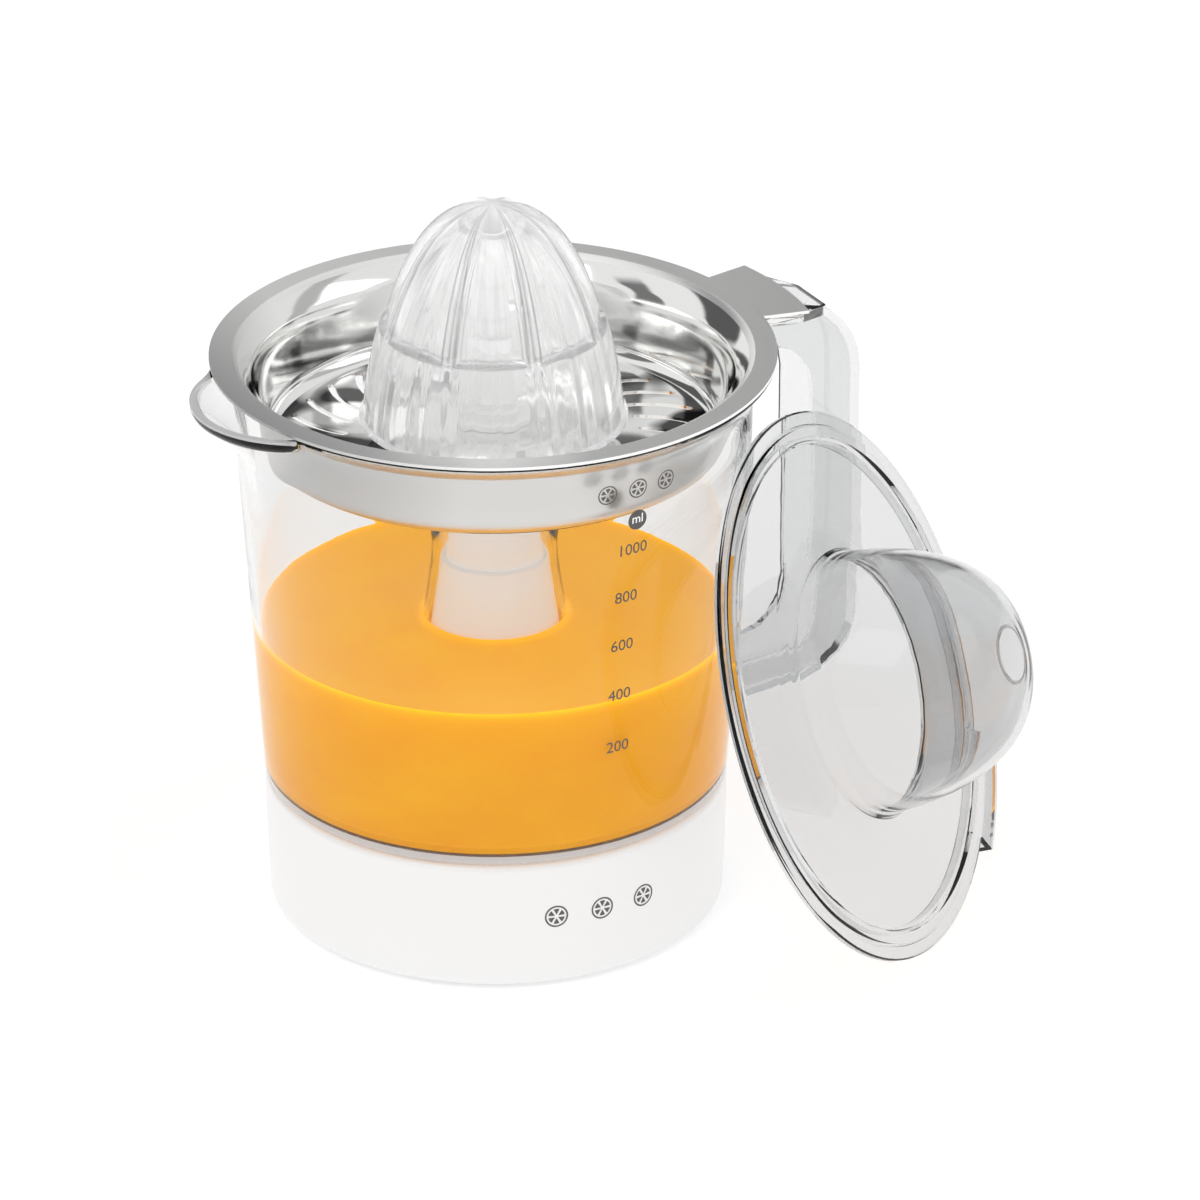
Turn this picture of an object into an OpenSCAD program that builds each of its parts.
// Citrus press juicer: motor base with a drive tower, a clear jug with spout and handle,
// a steel strainer, a clear ribbed reamer and a clear domed lid that leans on the jug.
// Millimetres. +Z is up, +X points to the handle and the spout is at -X.
// The origin is the centre of the base, on the surface that the feet stand on.

/* [Base] */
// Widest radius of the base housing
base_r = 68.3; // [66:0.1:72]
// Height of the shoulder that the jug stands on
base_h = 40.5; // [39:0.1:42]
// Height of the underside of the base above the table
foot_h = 1.5; // [1:0.1:2.5]
// Radius of the raised dome over the motor
dome_r = 49.2; // [49:0.1:50]
// Height of the top of the motor dome
dome_top = 60.5; // [60:0.1:61]
// Radius of the top of the drive tower
tower_r = 15.8; // [15.5:0.1:16]
// Height of the joint between tower and tower cap
tower_top = 110; // [108:0.5:111]
// Wall of the base housing
wall = 2.2; // [1.8:0.1:2.4]

/* [Jug] */
// Outer radius of the jug near its foot
jug_low_r = 68.6; // [68:0.1:70]
// Outer radius of the jug below the rim
jug_high_r = 75; // [74:0.1:76]
// Outer radius of the jug's rim
jug_rim_r = 81.6; // [81:0.1:82]
// Height of the jug's rim
jug_rim_z = 172.3; // [171:0.1:174]
// Wall of the jug
jug_wall = 2.2; // [1.8:0.1:2.6]
// Distance of the spout's lip from the axis
spout_reach = 93.8; // [90:0.1:96]
// Distance of the handle's outer face from the axis
handle_reach = 117; // [114:0.5:120]
// Width of the handle's grip
handle_w = 20; // [18:0.5:24]
// Depth of the handle's grip
handle_d = 16; // [14:0.5:18]

/* [Strainer] */
// Outer radius of the steel rim
sieve_rim_r = 82; // [81.5:0.1:83]
// Radius of the crease where the flat rim ends
sieve_crease_r = 75; // [74.5:0.1:76]
// Radius of the top of the bowl
sieve_bowl_r = 69.4; // [69:0.1:70]
// Sheet thickness
sieve_t = 0.9; // [0.7:0.1:1]
// Number of curved juice slots
slots = 32; // [16:1:32]
// Width of a juice slot
slot_w = 2.2; // [1.6:0.1:2.4]
// Reach of the tab over the handle
tab_reach = 96; // [94:0.5:97]
// Half of the angle that the tab spans
tab_half = 11.5; // [10:0.5:12]

/* [Reamer] */
// Radius of the reamer's skirt
cone_r = 38; // [37:0.1:38.5]
// Height of the skirt's lower edge
cone_z = 152.6; // [152.5:0.1:153]
// Height of the reamer
cone_h = 66.4; // [64:0.1:68]
// Number of flutes
flutes = 8; // [6:1:10]
// Height of the flat lower ends of the flutes
flute_z = 182; // [180:0.5:184]
// Wall of the reamer
cone_wall = 4.4; // [4.2:0.1:5]

/* [Lid] */
// Radius of the lid's flange
lid_r = 81.3; // [81:0.1:82]
// Thickness of the lid's flange
lid_t = 1.8; // [1.4:0.1:2]
// Radius of the foot of the lid's dome
lid_dome_r = 38.6; // [38:0.1:39]
// Height of the lid's dome above the flange
lid_dome_h = 50.5; // [50:0.1:52]
// Tilt of the leaning lid's axis above the table
lid_lean = 21.5; // [20:0.1:23]
// Direction that the leaning lid faces, counted from the handle
lid_turn = -50.6; // [-52:0.1:-49]
// Horizontal distance from the juicer's axis to the centre of the leaning lid
lid_away = 108; // [107.8:0.1:110]

/* [Drive] */
// Radius of the drive shaft
shaft_r = 4; // [3.9:0.1:4]
// Width across flats of the shaft's hexagons
hex_af = 7; // [6.8:0.1:7]
// Height of the top of the drive shaft
shaft_top = 172; // [170:0.5:173]
// Downward travel of the reamer that starts the motor
press = 3; // [2:0.5:3]
// Distance from the drive shaft to the first gear's pin
gear_1_away = 30; // [30:0.5:31]
// Direction of the first gear's pin
gear_1_turn = 11.4; // [10:0.1:12]
// Direction from the first gear's pin to the rotor
rotor_turn = -104.5; // [-106:0.1:-103]

/* [Hidden] */
$fn = 96;

// Clearances: gap lies between bodies that lift apart, run between a shaft and its bore
gap = 0.3;
run = 0.06;
eps = 0.01;

// Base levels
plate_t = 2.4;
plate_top = foot_h + plate_t;
deck_z = base_h - wall - 0.2;
housing_in_r = base_r - wall - 0.3;
boss_r = 4;
boss_at = 58.5;
boss_turns = [20, 110, 200, 290];
foot_at = 55;
foot_r = 5;
grommet_z = 14;

// Gearbox levels, from the lower plate upward
gearbox_c = [12, 6];
gearbox_r = 40.5;
pillar_at = 37;
pillar_turns = [45, 135, 225, 315];
low_z = 14;
low_t = 2;
up_z = 34;
up_t = 2;
out_z = [17, 22];
mid_z = [23, 27];
fast_z = [28.5, 32];
rotor_z = [27.5, 33];

// Gear train, output pair last: tooth modules, and teeth of the wheels and of every pinion
module_1 = 0.6;
module_2 = 0.8;
module_3 = 1;
teeth_1 = 60;
teeth_2 = 48;
teeth_out = 36;
teeth_p = 12;

// Gear axes, each at its pair's centre distance from the next
gear_1_c = gear_1_away * [cos(gear_1_turn), sin(gear_1_turn)];
pair_3 = module_3 * (teeth_out + teeth_p) / 2;
pair_2 = module_2 * (teeth_2 + teeth_p) / 2;
pair_1 = module_1 * (teeth_1 + teeth_p) / 2;
gear_2_rise = sqrt(pair_3 * pair_3 - gear_1_away * gear_1_away / 4);
gear_2_c = gear_1_c / 2 + gear_2_rise * [-sin(gear_1_turn), cos(gear_1_turn)];
rotor_c = gear_1_c + pair_1 * [cos(rotor_turn), sin(rotor_turn)];
pin_r = 1.5;

// Motor levels
stator_z = [40, 53];
magnet_r = 9;
bracket_z = 54.4;

// Drive levels
carriage_z = 10;
stem_low = 5.2;
stem_r = 2.5;
shaft_low = 12;
hex_low_top = 22.7;
hex_up_low = 137;
neck_top = 31;
cap_top = 133;
hub_low = 142;
hub_top = 157.2;
hub_af = 13;
sleeve_top = 176;

// Jug levels
jug_low = base_h + gap;
jug_floor = 44.4;
raised_floor = 64.6;
sieve_rim_z = jug_rim_z + gap;
sieve_floor = 144.9;
hub_hole_r = 9.1;

function polar(r, a) = [r * cos(a), r * sin(a)];
function angle_of(v) = atan2(v[1], v[0]);
function arc(c, r, a0, a1, n = 6) =
    [for (i = [0:n]) c + polar(r, a0 + (a1 - a0) * i / n)];

// A path moved sideways by d, to its right hand
function normal_at(p, i) = let(
        a = p[max(i - 1, 0)], b = p[min(i + 1, len(p) - 1)], v = (b - a) / norm(b - a))
    [v[1], -v[0]];
function beside(p, d) = [for (i = [0:len(p) - 1]) p[i] + d * normal_at(p, i)];
function reversed(p) = [for (i = [len(p) - 1:-1:0]) p[i]];

module ring(r_out, r_in, z0, z1) {
    translate([0, 0, z0]) difference() {
        cylinder(r = r_out, h = z1 - z0);
        translate([0, 0, -1]) cylinder(r = r_in, h = z1 - z0 + 2);
    }
}

module hex(af, z0, z1) {
    translate([0, 0, z0]) cylinder(r = af / 2 / cos(30), h = z1 - z0, $fn = 6);
}

module around(at, turns) {
    for (a = turns) rotate(a) translate([at, 0]) children();
}

module at_pillars() {
    translate(gearbox_c) around(pillar_at, pillar_turns) children();
}

// Involute gears with a 25 degree pressure angle, short teeth and a little backlash
pressure = 25;
backlash = 0.06;
addendum = 0.8;
dedendum = 1.1;
function inv(a) = tan(a) * 180 / PI - a;
function tooth_half(m, n, r) = let(rb = m * n / 2 * cos(pressure))
    90 / n - backlash / m * 360 / (PI * n) + inv(pressure) - inv(acos(min(1, rb / r)));
function tooth(m, n) = let(
        rp = m * n / 2, rb = rp * cos(pressure), root = rp - dedendum * m,
        tip = rp + addendum * m, low = max(rb, root),
        flank = [for (i = [0:3]) low + (tip - low) * i / 3],
        up = [for (r = flank) polar(r, -tooth_half(m, n, r))],
        down = [for (r = flank) polar(r, tooth_half(m, n, r))])
    concat([polar(root, -tooth_half(m, n, low))], up, reversed(down),
        [polar(root, tooth_half(m, n, low))]);
function turned(p, a) = [for (q = p) [q[0] * cos(a) - q[1] * sin(a), q[0] * sin(a) + q[1] * cos(a)]];

// Turn that puts a pinion of n2 teeth in mesh with a gear of n1 teeth at direction a
function mesh_turn(a, n1, n2) = a + 180 + 180 / n2 + a * n1 / n2;

module gear(m, n, z, turn = 0) {
    outline = [for (k = [0:n - 1]) each turned(tooth(m, n), turn + 360 * k / n)];
    translate([0, 0, z[0]]) linear_extrude(z[1] - z[0]) polygon(outline);
}

// ---- base ----

housing_outside = concat(
    arc([base_r - 2.3, foot_h + 1.5], 1.5, -90, 0),
    [[base_r - 0.3, 18], [base_r, 31]],
    arc([base_r - 1.8, base_h - 1.8], 1.8, 0, 90),
    [[dome_r + 1.8, base_h], [dome_r + 0.5, base_h + 0.6], [dome_r, base_h + 2.2]],
    arc([dome_r - 4.6, dome_top - 4], 4, 0, 90),
    [[26, dome_top + 0.3], [23.8, dome_top + 1.8], [22.5, 65], [20.6, 74], [18.6, 89], [17, 100],
        [tower_r, tower_top - 0.6], [tower_r - 0.5, tower_top]]);
housing_inside = [
    [13.2, tower_top], [13.2, 101], [14.8, 100], [16.4, 89], [18.4, 74], [20.2, 65],
    [22.2, dome_top - wall], [dome_r - 5, dome_top - wall], [dome_r - 2.9, dome_top - wall - 0.9],
    [dome_r - wall, dome_top - 5], [dome_r - wall, deck_z], [housing_in_r - 2, deck_z],
    [housing_in_r, deck_z - 2], [housing_in_r - 0.3, 18], [housing_in_r - 0.6, plate_top],
    [housing_in_r - 0.6, foot_h]];

module base_housing() {
    color("white") difference() {
        union() {
            rotate_extrude() polygon(concat(housing_outside, housing_inside));
            around(boss_at, boss_turns)
                translate([0, 0, plate_top]) cylinder(r = boss_r, h = deck_z - plate_top + 0.5);
        }
        around(boss_at, boss_turns) translate([0, 0, foot_h]) cylinder(r = 1.5, h = 20);
        translate([0, base_r - 8, grommet_z]) rotate([-90, 0, 0]) cylinder(r = 5, h = 12);
    }
}

module base_plate() {
    color("white") difference() {
        union() {
            translate([0, 0, foot_h]) cylinder(r = housing_in_r - 0.6, h = plate_t);
            translate([0, 0, foot_h]) cylinder(r = 4.3, h = 5);
            at_pillars() translate([0, 0, plate_top - eps])
                cylinder(r = boss_r, h = low_z - plate_top + eps);
        }
        around(boss_at, boss_turns) {
            translate([0, 0, foot_h - 1]) cylinder(r = 1.5, h = plate_t + 2);
            translate([0, 0, foot_h - 1]) cylinder(r = 3.2, h = 2.4);
        }
        translate([0, 0, stem_low - press - 0.1]) cylinder(r = stem_r + 0.1, h = 8);
        around(foot_at, [45, 135, 225, 315])
            translate([0, 0, foot_h - 1]) cylinder(r = foot_r, h = 2);
        for (x = [-36:6:-18], y = [-1, 1])
            translate([x - 1, y * 18 - 9, foot_h - 1]) cube([2, 18, plate_t + 2]);
        at_pillars() translate([0, 0, low_z - 10]) cylinder(r = 1.2, h = 12);
    }
}

module rubber_feet() {
    color("dimgray") around(foot_at, [45, 135, 225, 315]) rotate_extrude()
        polygon([[0, 0], [foot_r - 1, 0], [foot_r - 0.4, 0.4], [foot_r - 0.2, foot_h],
            [foot_r, foot_h + eps], [foot_r, foot_h + 1], [0, foot_h + 1]]);
}

module base_screws() {
    color("silver") around(boss_at, boss_turns) difference() {
        union() {
            translate([0, 0, foot_h + 0.1]) cylinder(r = 3, h = 1.3);
            translate([0, 0, foot_h + 1]) cylinder(r = 1.5, h = 14);
        }
        for (a = [0, 90]) rotate(a)
            translate([-1.8, -0.35, foot_h - 0.5]) cube([3.6, 0.7, 1.3]);
    }
}

module cord_grommet() {
    color("dimgray") translate([0, 0, grommet_z]) rotate([-90, 0, 0]) rotate_extrude()
        polygon([[3.2, 63.2], [6.5, 63.2], [6.5, 64.8], [5, 65.2], [5, 67.9], [6.5, 68.3],
            [6.2, 69.6], [3.8, 69.8], [3.2, 69.2]]);
}

module terminal_block() {
    color("ivory") translate([-42, -8, plate_top]) difference() {
        cube([12, 30, 10]);
        for (y = [5, 15, 25]) {
            translate([6, y, 3]) cylinder(r = 2.2, h = 12);
            translate([-1, y, 4]) rotate([0, 90, 0]) cylinder(r = 1.6, h = 14);
        }
    }
}

// ---- tower ----

module tower_cap() {
    color("white") rotate_extrude() polygon([
        [13.1, 102], [13.1, tower_top], [14.3, tower_top], [14.3, cap_top - 2.6],
        [13.6, cap_top - 0.8], [12.2, cap_top], [8, cap_top], [8, 127.5], [5.4, 127.5],
        [5.4, 126], [7, 126], [7, 117], [5.4, 117], [5.4, 115.5], [11, 113.5], [11, 102]]);
}

module shaft_seal() {
    color("dimgray") rotate_extrude() polygon([
        [shaft_r + run, 130.6], [shaft_r + run, 131.4], [5.6, 132.6], [8, 132.6], [8, 127.5],
        [6.6, 127.5], [6.6, 130.2], [5.2, 130.4]]);
}

module shaft_bushes() {
    color("peru") {
        ring(7, shaft_r + run, 117, 126);
        ring(7, shaft_r + run, up_z - 0.5, up_z + up_t + 0.5);
    }
}

// ---- gearbox ----

hub_r = 6;
module lower_bush() {
    color("peru") ring(8.5, hub_r + run, low_z - 0.3, low_z + low_t);
}

module gear_plate(z, t) {
    translate([gearbox_c[0], gearbox_c[1], z]) cylinder(r = gearbox_r, h = t);
}

module at_gear_pins() {
    for (c = [gear_1_c, gear_2_c]) translate([c[0], c[1], 0]) children();
}

module gearbox_lower_plate() {
    color("silver") difference() {
        gear_plate(low_z, low_t);
        translate([0, 0, low_z - 1]) cylinder(r = 8.5, h = low_t + 2);
        at_gear_pins() translate([0, 0, low_z - 1]) cylinder(r = pin_r, h = low_t + 2);
        at_pillars() translate([0, 0, low_z - 1]) cylinder(r = 1.2, h = low_t + 2);
    }
}

module gearbox_upper_plate() {
    color("silver") difference() {
        gear_plate(up_z, up_t);
        translate([0, 0, up_z - 1]) cylinder(r = 7, h = up_t + 2);
        translate([rotor_c[0], rotor_c[1], up_z - 1]) cylinder(r = 4, h = up_t + 2);
        at_gear_pins() translate([0, 0, up_z - 1]) cylinder(r = pin_r, h = up_t + 2);
        at_pillars() translate([0, 0, up_z - 1]) cylinder(r = 1.4, h = up_t + 2);
    }
}

module gearbox_pillars() {
    color("silver") at_pillars() ring(2.6, 1.2, low_z + low_t, up_z);
}

module gearbox_screws() {
    color("gray") at_pillars() difference() {
        union() {
            translate([0, 0, low_z - 8]) cylinder(r = 1.2, h = up_z + up_t - low_z + 8);
            translate([0, 0, up_z + up_t]) cylinder(r = 2.6, h = 1.8);
        }
        translate([-3, -0.4, up_z + up_t + 0.9]) cube([6, 0.8, 2]);
    }
}

module gear_pins() {
    color("silver") at_gear_pins()
        translate([0, 0, low_z]) cylinder(r = pin_r, h = up_z + up_t - low_z);
}

module output_gear() {
    color("ivory") difference() {
        union() {
            gear(module_3, teeth_out, out_z);
            translate([0, 0, low_z - 0.4]) cylinder(r = hub_r, h = 4);
            translate([0, 0, low_z + low_t + gap]) cylinder(r = 8, h = 1);
        }
        hex(hex_af + 0.2, low_z - 2, out_z[1] + 1);
        for (a = [30:60:330]) rotate(a)
            translate([11.6, 0, out_z[0] - 1]) cylinder(r = 2.6, h = 8);
    }
}

module pinned(c, parts_z) {
    translate([c[0], c[1], 0]) difference() {
        union() {
            children();
            translate([0, 0, parts_z[0]]) cylinder(r = 3, h = parts_z[1] - parts_z[0]);
        }
        translate([0, 0, parts_z[0] - 1]) cylinder(r = pin_r + run, h = parts_z[1] - parts_z[0] + 2);
    }
}

module second_gear() {
    color("ivory") pinned(gear_2_c, [low_z + low_t + gap, up_z - gap]) {
        gear(module_2, teeth_2, mid_z);
        gear(module_3, teeth_p, [out_z[0], mid_z[0]],
            mesh_turn(angle_of(gear_2_c), teeth_out, teeth_p));
    }
}

module first_gear() {
    color("ivory") pinned(gear_1_c, [low_z + low_t + gap, up_z - gap]) {
        gear(module_1, teeth_1, fast_z);
        gear(module_2, teeth_p, [mid_z[0], fast_z[0]],
            mesh_turn(angle_of(gear_1_c - gear_2_c), teeth_2, teeth_p));
    }
}

// ---- motor ----

stator_x = [10.8, 37.2];
stator_y = [-26.2, 27];
limb_w = 6.4;
yoke_w = 8;
module stator_outline() {
    difference() {
        translate([stator_x[0], stator_y[0]])
            square([stator_x[1] - stator_x[0], stator_y[1] - stator_y[0]]);
        translate([stator_x[0] + limb_w, -1])
            square([stator_x[1] - stator_x[0] - 2 * limb_w, stator_y[1] - yoke_w + 1]);
        translate(rotor_c) circle(r = magnet_r + 0.8);
        translate([rotor_c[0] - 0.8, stator_y[0] - 1]) square([1.6, 30]);
        for (x = stator_x, y = [stator_y[0] + 3, stator_y[1] - 3])
            translate([x + (x < 20 ? 3 : -3), y]) circle(r = 1.3);
    }
}

module motor_stator() {
    color("dimgray") translate([0, 0, stator_z[0]])
        linear_extrude(stator_z[1] - stator_z[0]) stator_outline();
}

module at_motor_screws() {
    for (x = [stator_x[0] + 3, stator_x[1] - 3], y = [stator_y[0] + 3, stator_y[1] - 3])
        translate([x, y, 0]) children();
}

module motor_spacers() {
    color("silver") at_motor_screws() ring(2.4, 1.3, up_z + up_t, stator_z[0]);
}

module motor_screws() {
    color("gray") at_motor_screws() {
        translate([0, 0, up_z + up_t]) cylinder(r = 1.3, h = bracket_z + 1.4 - up_z - up_t);
        translate([0, 0, bracket_z + 1.4]) cylinder(r = 2.2, h = 1.2);
    }
}

module motor_bracket() {
    color("silver") difference() {
        union() {
            translate([stator_x[0], stator_y[0], bracket_z])
                cube([stator_x[1] - stator_x[0], 21, 1.4]);
            translate([stator_x[0], stator_y[1] - 6, bracket_z])
                cube([stator_x[1] - stator_x[0], 6, 1.4]);
            for (x = [stator_x[0], stator_x[1] - 4])
                translate([x, stator_y[0] + 20, bracket_z])
                    cube([4, stator_y[1] - stator_y[0] - 25, 1.4]);
            at_motor_screws() translate([0, 0, stator_z[1]])
                cylinder(r = 2.4, h = bracket_z - stator_z[1] + eps);
        }
        at_motor_screws() translate([0, 0, stator_z[1] - 1]) cylinder(r = 1.3, h = 5);
        translate([rotor_c[0], rotor_c[1], bracket_z - 1]) cylinder(r = 4, h = 4);
        translate([16, stator_y[1] - 7, bracket_z - 1]) cube([16, 8, 4]);
    }
}

coil_x = [17.4, 30.6];
coil_y = [13, 33];
coil_z = [37.4, 55.8];
module coil_core(grow) {
    translate([coil_x[0] - 1, stator_y[1] - yoke_w - grow, stator_z[0] - grow])
        cube([coil_x[1] - coil_x[0] + 2, yoke_w + 2 * grow,
            stator_z[1] - stator_z[0] + 2 * grow]);
}

module coil_block(x0, x1, inset) {
    translate([x0, coil_y[0] + inset, coil_z[0] + inset])
        cube([x1 - x0, coil_y[1] - coil_y[0] - 2 * inset, coil_z[1] - coil_z[0] - 2 * inset]);
}

module coil_bobbin() {
    color("ivory") difference() {
        union() {
            coil_block(coil_x[0], coil_x[0] + 1.2, 0);
            coil_block(coil_x[1] - 1.2, coil_x[1], 0);
            intersection() {
                coil_core(1);
                coil_block(coil_x[0], coil_x[1], 0);
            }
        }
        coil_core(0);
    }
}

module coil_winding() {
    color("peru") difference() {
        coil_block(coil_x[0] + 1.2, coil_x[1] - 1.2, 0.6);
        coil_core(1);
    }
}

module at_rotor() {
    translate([rotor_c[0], rotor_c[1], 0]) children();
}

module rotor_magnet() {
    color("dimgray") at_rotor() ring(magnet_r, pin_r, stator_z[0] + 0.5, stator_z[1] - 0.5);
}

module rotor_shaft() {
    color("silver") at_rotor() translate([0, 0, rotor_z[0]]) cylinder(r = pin_r, h = 57 - rotor_z[0]);
}

module rotor_pinion() {
    color("goldenrod") at_rotor() difference() {
        gear(module_1, teeth_p, rotor_z,
            mesh_turn(rotor_turn, teeth_1, teeth_p));
        translate([0, 0, rotor_z[0] - 1]) cylinder(r = pin_r, h = 8);
    }
}

module rotor_bushes() {
    color("peru") at_rotor() {
        ring(4, pin_r + run, up_z - 0.4, up_z + up_t + 2);
        ring(4, pin_r + run, bracket_z, 56.8);
    }
}

// ---- start switch and return spring ----

lever_x = 18;
lever_z = 9.15;
module microswitch() {
    color("black") difference() {
        union() {
            translate([12, -4, plate_top]) cube([20, 8, 3]);
            for (y = [-4, 2.4]) translate([lever_x - 2.5, y, plate_top]) cube([5, 1.6, 7.2]);
        }
        translate([lever_x, 0, lever_z]) rotate([90, 0, 0]) cylinder(r = 0.6, h = 12, center = true);
    }
}

module switch_pin() {
    color("silver") translate([lever_x, 0, lever_z]) rotate([90, 0, 0])
        cylinder(r = 0.6, h = 8, center = true);
}

module switch_lever() {
    color("silver") difference() {
        union() {
            translate([6.1, -1.8, 8.8]) cube([lever_x - 6.1, 3.6, 0.7]);
            translate([lever_x, 0, lever_z]) rotate([90, 0, 0])
                cylinder(r = 1.2, h = 4.2, center = true);
        }
        translate([lever_x, 0, lever_z]) rotate([90, 0, 0])
            cylinder(r = 0.6 + run, h = 6, center = true);
    }
}

// Steel wire coiled between the base plate and the collar
spring_r = 5.1;
spring_wire = 0.35;
spring_turns = 4;
spring_z = [plate_top + spring_wire + 0.05, carriage_z - spring_wire - 0.05];
module return_spring() {
    steps = spring_turns * 16;
    sides = 6;
    points = [for (i = [0:steps], k = [0:sides - 1]) let(
        a = 360 * spring_turns * i / steps, b = 360 * k / sides,
        r = spring_r + spring_wire * cos(b))
        [r * cos(a), r * sin(a),
            spring_z[0] + (spring_z[1] - spring_z[0]) * i / steps + spring_wire * sin(b)]];
    walls = [for (i = [0:steps - 1], k = [0:sides - 1]) let(n = (k + 1) % sides)
        [i * sides + k, (i + 1) * sides + k, (i + 1) * sides + n, i * sides + n]];
    ends = [[for (k = [0:sides - 1]) k], [for (k = [sides - 1:-1:0]) steps * sides + k]];
    color("silver") polyhedron(points, concat(walls, ends));
}

module thrust_collar() {
    color("ivory") rotate_extrude() polygon([
        [0, stem_low], [stem_r, stem_low], [stem_r, carriage_z], [7, carriage_z],
        [7, shaft_low + 1],
        [4.6, shaft_low + 1], [4.6, shaft_low - gap], [0, shaft_low - gap]]);
}

module drive_shaft() {
    color("silver") {
        hex(hex_af, shaft_low, hex_low_top);
        translate([0, 0, hex_low_top]) cylinder(r = 3, h = neck_top - hex_low_top);
        translate([0, 0, neck_top]) cylinder(r = shaft_r, h = hex_up_low - neck_top);
        hex(hex_af, hex_up_low, shaft_top);
    }
}

// ---- jug ----

jug_outside = concat(
    [[66.9, jug_low], [68.1, jug_low + 1], [jug_low_r, jug_low + 3]],
    [[jug_high_r, 150], [jug_high_r + 0.2, 157], [jug_high_r + 1, 163], [jug_high_r + 3.2, 168.6]],
    [[jug_rim_r - 0.8, 170.6], [jug_rim_r, 171.4], [jug_rim_r - 0.1, jug_rim_z]]);
wall_inside = [
    [77.2, jug_rim_z], [75, 169.2], [73.4, 163], [72.8, 157], [72.5, 150],
    [jug_low_r - jug_wall, jug_floor + 2.4]];
floor_inside = [
    [jug_low_r - jug_wall - 2, jug_floor],
    [55.6, jug_floor], [53.8, jug_floor + 1.8], [52.9, 60.4], [51.6, 63], [49, raised_floor],
    [28, raised_floor], [25.8, 66.4], [23.6, 74], [21.4, 89], [19.6, 100], [18.5, 109],
    [18.4, 114], [19.6, 124.6]];
floor_underside = [
    [19.2, 125.8], [18, 125.8], [16.9, 114], [16.9, 109.4], [17.9, 100], [19.7, 89], [21.8, 74],
    [23.8, 66], [26, 62.4], [48.6, 62.2], [50.4, 60.6], [50.9, 58], [51.3, jug_low + 1],
    [52, jug_low]];

// The spout is lofted through level discs: height, reach from the axis, radius
lip_z = jug_rim_z - 0.7;
spout_discs = [[138, 74.2, 18], [156, 79, 24], [lip_z - 2.4, spout_reach, 31.2]];
module spout_disc(d, inset, top) {
    translate([d[2] - d[1], 0, d[0] + inset])
        cylinder(r = d[2] - inset, h = top == 0 ? 0.6 : top - d[0] - inset);
}

module spout_block(inset, top) {
    for (i = [0, 1]) hull($fn = 48) {
        spout_disc(spout_discs[i], inset, 0);
        spout_disc(spout_discs[i + 1], inset, i == 1 ? top : 0);
    }
}

// Side view of the handle: from the rim, down the grip and back to the foot of the jug
handle_in_x = handle_reach - handle_d;
handle_wall = 2.4;
handle_out = concat(
    [[76, jug_rim_z], [handle_reach - 21, jug_rim_z]],
    arc([handle_reach - 25, 147.3], 25, 78, 0, 6),
    arc([handle_reach - 18, 68], 18, 0, -75, 5),
    [[86, 47.8], [67, 46.6]]);
handle_in = concat(
    [[67, 57]],
    arc([handle_in_x - 16, 74], 16, -80, 0, 4),
    arc([handle_in_x - 16, 144], 16, 0, 80, 4),
    [[76, 161]]);
// The grip is a channel that is open towards the jug
hollow_out = concat(
    [[80, jug_rim_z - 2.5], [handle_reach - 22, jug_rim_z - 2.5]],
    arc([handle_reach - 25, 147.3], 25 - handle_wall, 76, 0, 6),
    arc([handle_reach - 18, 68], 18 - handle_wall, 0, -75, 5),
    [[86, 50.3], [76, 49.8]]);
hollow_in = [[76, 64], [handle_in_x - 11, 70], [handle_in_x - 2, 80], [handle_in_x - 2, 140],
    [handle_in_x - 9, 152], [80, 158]];

module handle_slab(points, w) {
    translate([0, w / 2, 0]) rotate([90, 0, 0]) linear_extrude(w) polygon(points);
}

// The pad under the strainer's tab, which narrows into the grip
module handle_pad() {
    corner_r = 2.4;
    low = jug_rim_z - 2.6;
    hull($fn = 32) {
        for (s = [-1, 1], x = [79, tab_reach - 2.8]) rotate(s * (tab_half - 1.6))
            translate([x, 0, low]) cylinder(r = corner_r, h = jug_rim_z - low);
        for (s = [-1, 1]) translate([103.6, s * (handle_w / 2 - corner_r), low - 3.4])
            cylinder(r = corner_r, h = jug_rim_z - low);
    }
}

clear = [0.9, 0.92, 0.93, 0.5];
module jug_wall_and_spout() {
    color(clear) difference() {
        union() {
            rotate_extrude() polygon(concat(jug_outside, [[60, jug_rim_z], [60, jug_low]]));
            spout_block(0, lip_z);
        }
        rotate_extrude() polygon(concat([[0, jug_rim_z + 1], [77.2, jug_rim_z + 1]], wall_inside,
            [[jug_low_r - jug_wall, jug_low - 1], [0, jug_low - 1]]));
        spout_block(jug_wall, 190);
    }
}

module jug_floor_and_funnel() {
    color(clear) rotate_extrude() polygon(concat(
        [[jug_low_r - jug_wall, jug_low], [jug_low_r - jug_wall, jug_floor + 2.4]],
        floor_inside, floor_underside));
}

module jug_handle() {
    color(clear) difference() {
        union() {
            difference() {
                handle_slab(concat(handle_out, handle_in), handle_w);
                handle_slab(concat(hollow_out, hollow_in), handle_w - 2 * handle_wall);
            }
            handle_pad();
        }
        rotate_extrude() polygon(concat(
            jug_outside, [[jug_rim_r - 0.1, jug_rim_z + 2], [0, jug_rim_z + 2], [0, jug_low]]));
    }
}

// ---- strainer ----

sieve_top = concat(
    [[sieve_rim_r, sieve_rim_z + sieve_t], [sieve_crease_r + 0.6, sieve_rim_z + sieve_t],
        [sieve_crease_r - 0.6, sieve_rim_z + sieve_t - 0.7],
        [sieve_bowl_r + 0.8, 168.4], [sieve_bowl_r, 167], [66.9, 152.6]],
    arc([61.9, sieve_floor + sieve_t + 4.9], 4.9, 0, -90, 6),
    [[32, sieve_floor + sieve_t], [28, 146.6], [25.6, 149.2], [24.2, 152], [22.4, 152.6],
        [hub_hole_r, 152.6]]);

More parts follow.
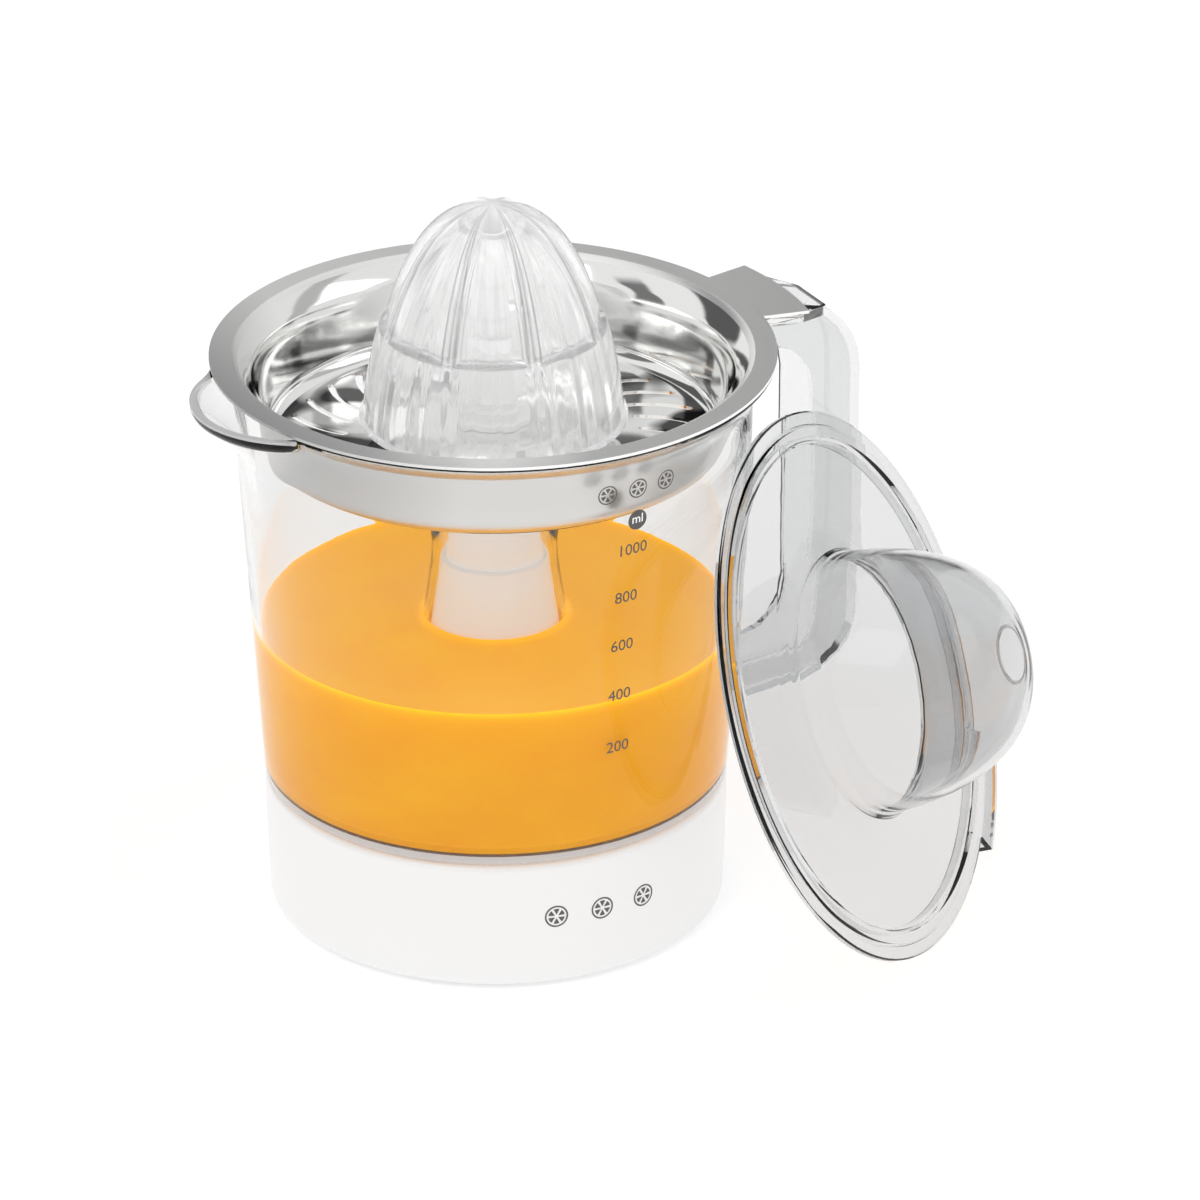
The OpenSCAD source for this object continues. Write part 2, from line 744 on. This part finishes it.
slot_c = [40.8, -18.5];
slot_arc_r = 28.6;
slot_from = 47;
slot_to = 87;
function slot_end(a, first) =
    [for (i = [1:3]) slot_c + polar(slot_arc_r, a) + polar(slot_w / 2, first + 45 * i)];
slot_outline = concat(
    arc(slot_c, slot_arc_r + slot_w / 2, slot_from, slot_to), slot_end(slot_to, slot_to),
    arc(slot_c, slot_arc_r - slot_w / 2, slot_to, slot_from), slot_end(slot_from, slot_from + 180));

module strainer() {
    color("silver") difference() {
        union() {
            rotate_extrude() polygon(concat(sieve_top, reversed(beside(sieve_top, -sieve_t))));
            intersection() {
                ring(tab_reach, sieve_rim_r - 3, sieve_rim_z, sieve_rim_z + sieve_t);
                linear_extrude(200) polygon(concat([[0, 0]],
                    [for (a = [-tab_half, tab_half]) polar(120, a)]));
            }
        }
        for (k = [0:slots - 1]) rotate(360 * k / slots)
            translate([0, 0, sieve_floor - 4]) linear_extrude(8) polygon(slot_outline);
    }
}

// ---- rotating drive in the strainer ----

module drive_hub() {
    color("white") difference() {
        union() {
            translate([0, 0, hub_low]) cylinder(r = hub_hole_r - 0.1, h = 11);
            translate([0, 0, 152.6 + 0.2]) cylinder(r = 12, h = 1.6);
            translate([0, 0, 153]) cylinder(r = 9.6, h = hub_top - 153);
        }
        hex(hex_af + 0.2, hub_low - 1, hub_top + 1);
        hex(hub_af, 147.4, hub_top + 1);
    }
}

module drive_sleeve() {
    color("white") difference() {
        hex(hub_af - 0.2, 147.4 + press + 0.4, sleeve_top);
        hex(hex_af + 0.2, 140, shaft_top + gap);
    }
}

// ---- reamer ----

// Outside radius of the reamer at height z above its skirt
function cone_at(z, r, h) = r * pow(1 - pow(min(1, z / h), 1.52), 0.42);
cone_steps = 18;
function cone_path(r, h) = [for (i = [0:cone_steps]) let(z = h * sin(90 * i / cone_steps))
    [cone_at(z, r, h), cone_z + z]];
flute_turn = 16.5;
flute_r = 42;
flute_depth = 3.1;
// Circle that the cone's side follows above the skirt, and its centre
side_c = [-24.2, 169.9];
side_r = 58.3;

module reamer() {
    boss_r = 10.4;
    color([0.93, 0.93, 0.93, 0.6]) difference() {
        union() {
            rotate_extrude() polygon(concat([[0, cone_z]], cone_path(cone_r, cone_h)));
            ring(cone_r + 1, 30, cone_z, cone_z + 1.6);
        }
        difference() {
            rotate_extrude() polygon(concat([[0, cone_z - 1], [cone_r - cone_wall, cone_z - 1]],
                cone_path(cone_r - cone_wall, cone_h - 7), [[0, cone_z + cone_h - 7]]));
            translate([0, 0, 161]) cylinder(r = boss_r, h = 80);
        }
        hex(hub_af, 150, sleeve_top + gap);
        for (k = [0:flutes - 1]) rotate(flute_turn + 360 * k / flutes) intersection() {
            translate([side_c[0], 0, side_c[1]]) rotate([90, 0, 0]) rotate_extrude()
                translate([side_r + flute_r - flute_depth, 0]) circle(r = flute_r);
            translate([0, -cone_r, flute_z]) cube(2 * cone_r);
        }
    }
}

// ---- lid ----

lid_tab_turn = 42;
lid_tab_out = 88;
lid_place_turn = -40;
lid_z = lid_t * sin(lid_lean) + lid_r * cos(lid_lean);
lid_top = concat(
    [[lid_r, -lid_t], [lid_r, -0.4], [lid_r - 0.5, 0], [77.4, 0], [76.6, 1.2], [73.2, 1.4],
        [72.4, 0.4], [lid_dome_r + 4.4, 1.2], [lid_dome_r + 1.6, 2.2], [lid_dome_r, 5]],
    [for (i = [1:14]) let(a = 90 * i / 14)
        [lid_dome_r * pow(cos(a), 0.62), 5 + (lid_dome_h - 5) * pow(sin(a), 1.15)]]);
lid_under = concat(
    [[0, lid_dome_h - 1.9]],
    [for (i = [13:-1:1]) let(a = 90 * i / 14)
        [(lid_dome_r - 1.8) * pow(cos(a), 0.62), 4 + (lid_dome_h - 5.9) * pow(sin(a), 1.15)]],
    [[lid_dome_r - 1.8, 4], [lid_dome_r - 0.4, 0.8], [lid_dome_r + 4, -0.6], [71.6, -1.4],
        [71.8, -4.4], [73.3, -4.4], [73.7, -lid_t]]);

module lid_place() {
    translate([lid_away * cos(lid_place_turn), lid_away * sin(lid_place_turn), lid_z])
        rotate([0, 90 - lid_lean, lid_turn]) children();
}

module lid() {
    color([0.92, 0.93, 0.94, 0.5]) lid_place() union() {
        rotate_extrude() polygon(concat(lid_top, lid_under));
        rotate(lid_tab_turn) difference() {
            intersection() {
                ring(lid_tab_out, lid_r - 6, -4.4, 0);
                translate([0, 0, -8]) linear_extrude(20) polygon(concat([[0, 0]],
                    [for (a = [-tab_half, tab_half]) polar(120, a)]));
            }
            ring(lid_tab_out - 1.8, 60, -6, -lid_t);
        }
    }
}

base_housing();
base_plate();
rubber_feet();
base_screws();
cord_grommet();
terminal_block();
tower_cap();
shaft_seal();
shaft_bushes();
lower_bush();
gearbox_lower_plate();
gearbox_upper_plate();
gearbox_pillars();
gearbox_screws();
gear_pins();
output_gear();
second_gear();
first_gear();
motor_stator();
motor_spacers();
coil_bobbin();
coil_winding();
rotor_magnet();
rotor_shaft();
rotor_pinion();
rotor_bushes();
motor_bracket();
motor_screws();
microswitch();
switch_pin();
switch_lever();
return_spring();
thrust_collar();
drive_shaft();
jug_wall_and_spout();
jug_floor_and_funnel();
jug_handle();
strainer();
drive_hub();
drive_sleeve();
reamer();
lid();
